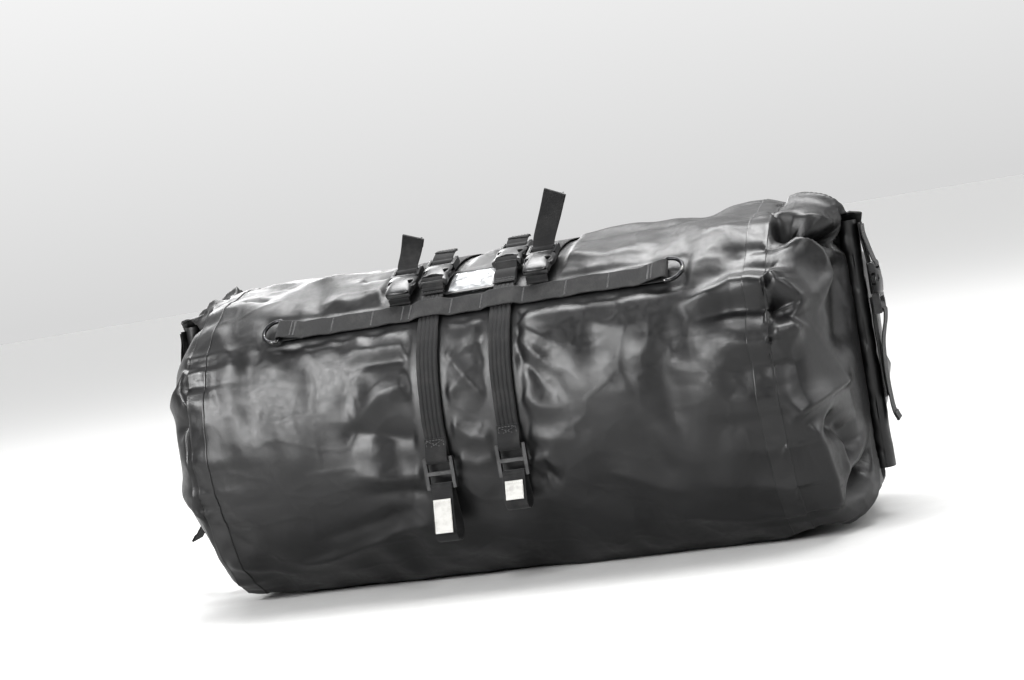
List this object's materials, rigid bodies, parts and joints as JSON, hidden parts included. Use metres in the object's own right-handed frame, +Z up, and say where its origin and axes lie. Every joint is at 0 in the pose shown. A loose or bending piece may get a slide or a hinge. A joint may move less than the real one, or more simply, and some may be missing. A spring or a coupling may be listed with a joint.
{
  "type": "tail bag",
  "caption": "Roll-closure waterproof duffel that lies across a motorcycle's tail, with stretch straps, side-release buckles, webbing chains and D-rings.",
  "frame": {"origin": "middle of the flat underside that the bag rests on", "axes": "+X along the bag's long axis towards its right end, +Y towards the back, +Z up; -Y is the side with the stretch straps' adjusters"},
  "size_m": [0.8786, 0.4163, 0.4048],
  "materials": {
    "shell": "glossy coated fabric, black",
    "collar": "lighter coated fabric, semi-gloss black",
    "seam_tape": "welded tape, satin dark grey",
    "stiffener": "flexible plastic strip",
    "webbing": "ribbed polyester webbing, dark grey",
    "elastic": "ribbed covered rubber, dark grey",
    "buckle": "moulded acetal, satin black",
    "ring": "black coated steel wire",
    "pocket": "clear film, glossy",
    "label": "blank woven label, off-white"
  },
  "bodies": {
    "root": {"bag_tube": "shell", "band_end_low_1": "webbing", "band_end_low_2": "webbing", "band_end_top_1": "webbing", "band_end_top_2": "webbing", "clear_pocket": "pocket", "clip_female_end_left": "buckle", "clip_female_end_right": "buckle", "clip_female_top_a": "buckle", "clip_female_top_b": "buckle", "clip_female_top_c": "buckle", "clip_female_top_d": "buckle", "closure_roll_left": "collar", "closure_roll_right": "collar", "closure_strap_left": "webbing", "closure_strap_right": "webbing", "closure_tab_left": "webbing", "closure_tab_right": "webbing", "daisy_chain_front": "webbing", "daisy_chain_rear": "webbing", "end_collar_left": "collar", "end_collar_right": "collar", "front_tab_1": "webbing", "front_tab_2": "webbing", "mouth_stiffener_left": "stiffener", "mouth_stiffener_right": "stiffener", "rear_webbing_1": "webbing", "rear_webbing_2": "webbing", "seam_band_left": "seam_tape", "seam_band_right": "seam_tape", "stretch_band_1": "elastic", "stretch_band_2": "elastic", "top_webbing_1": "webbing", "top_webbing_2": "webbing"},
    "d_ring_front_left": {"d_ring_front_left": "ring"},
    "d_ring_front_right": {"d_ring_front_right": "ring"},
    "d_ring_rear_left": {"d_ring_rear_left": "ring"},
    "d_ring_rear_right": {"d_ring_rear_right": "ring"},
    "clip_top_a": {"clip_male_top_a": "buckle", "strap_tail_top_a": "webbing"},
    "clip_top_b": {"clip_male_top_b": "buckle", "strap_tail_top_b": "webbing"},
    "clip_top_c": {"clip_male_top_c": "buckle", "strap_tail_top_c": "webbing"},
    "clip_top_d": {"clip_male_top_d": "buckle", "strap_tail_top_d": "webbing"},
    "clip_end_right": {"clip_male_end_right": "buckle", "strap_tail_end_right": "webbing"},
    "clip_end_left": {"clip_male_end_left": "buckle", "strap_tail_end_left": "webbing"},
    "lock_1": {"ladder_lock_1": "buckle"},
    "loop_1": {"anchor_loop_front_1": "webbing", "loop_label_1": "label"},
    "lock_2": {"ladder_lock_2": "buckle"},
    "loop_2": {"anchor_loop_front_2": "webbing", "loop_label_2": "label"}
  },
  "joints": [
    {"name": "d_ring_front_left_swing", "type": "hinge", "parent": "root", "child": "d_ring_front_left", "pos_m": [-0.222, -0.14588, 0.30359], "axis": [0, 0.7188, 0.6952], "range_deg": [0, 150]},
    {"name": "d_ring_front_right_swing", "type": "hinge", "parent": "root", "child": "d_ring_front_right", "pos_m": [0.222, -0.14588, 0.30359], "axis": [0, -0.7188, -0.6952], "range_deg": [0, 150]},
    {"name": "d_ring_rear_left_swing", "type": "hinge", "parent": "root", "child": "d_ring_rear_left", "pos_m": [-0.222, 0.14588, 0.30359], "axis": [0, 0.7188, -0.6952], "range_deg": [0, 150]},
    {"name": "d_ring_rear_right_swing", "type": "hinge", "parent": "root", "child": "d_ring_rear_right", "pos_m": [0.222, 0.14588, 0.30359], "axis": [0, -0.7188, 0.6952], "range_deg": [0, 150]},
    {"name": "clip_top_a_release", "type": "slide", "parent": "root", "child": "clip_top_a", "axis": [0, 0.8987, 0.4386], "range_m": [0, 0.026]},
    {"name": "clip_top_b_release", "type": "slide", "parent": "root", "child": "clip_top_b", "axis": [0, 0.9236, 0.3834], "range_m": [0, 0.026]},
    {"name": "clip_top_c_release", "type": "slide", "parent": "root", "child": "clip_top_c", "axis": [0, 0.954, 0.2997], "range_m": [0, 0.026]},
    {"name": "clip_top_d_release", "type": "slide", "parent": "root", "child": "clip_top_d", "axis": [0, 0.9041, 0.4274], "range_m": [0, 0.026]},
    {"name": "clip_end_right_release", "type": "slide", "parent": "root", "child": "clip_end_right", "axis": [0, 0, -1], "range_m": [0, 0.026]},
    {"name": "clip_end_left_release", "type": "slide", "parent": "root", "child": "clip_end_left", "axis": [0, 0, -1], "range_m": [0, 0.026]},
    {"name": "ladder_lock_1_tilt", "type": "hinge", "parent": "root", "child": "lock_1", "pos_m": [-0.043, -0.1951, 0.144], "axis": [-1, 0, 0], "range_deg": [0, 40]},
    {"name": "anchor_loop_1_swing", "type": "hinge", "parent": "lock_1", "child": "loop_1", "pos_m": [-0.043, -0.1951, 0.114], "axis": [-1, 0, 0], "range_deg": [-10, 60]},
    {"name": "ladder_lock_2_tilt", "type": "hinge", "parent": "root", "child": "lock_2", "pos_m": [0.04, -0.1951, 0.148], "axis": [-1, 0, 0], "range_deg": [0, 40]},
    {"name": "anchor_loop_2_swing", "type": "hinge", "parent": "lock_2", "child": "loop_2", "pos_m": [0.04, -0.1951, 0.118], "axis": [-1, 0, 0], "range_deg": [-10, 60]}
  ]
}
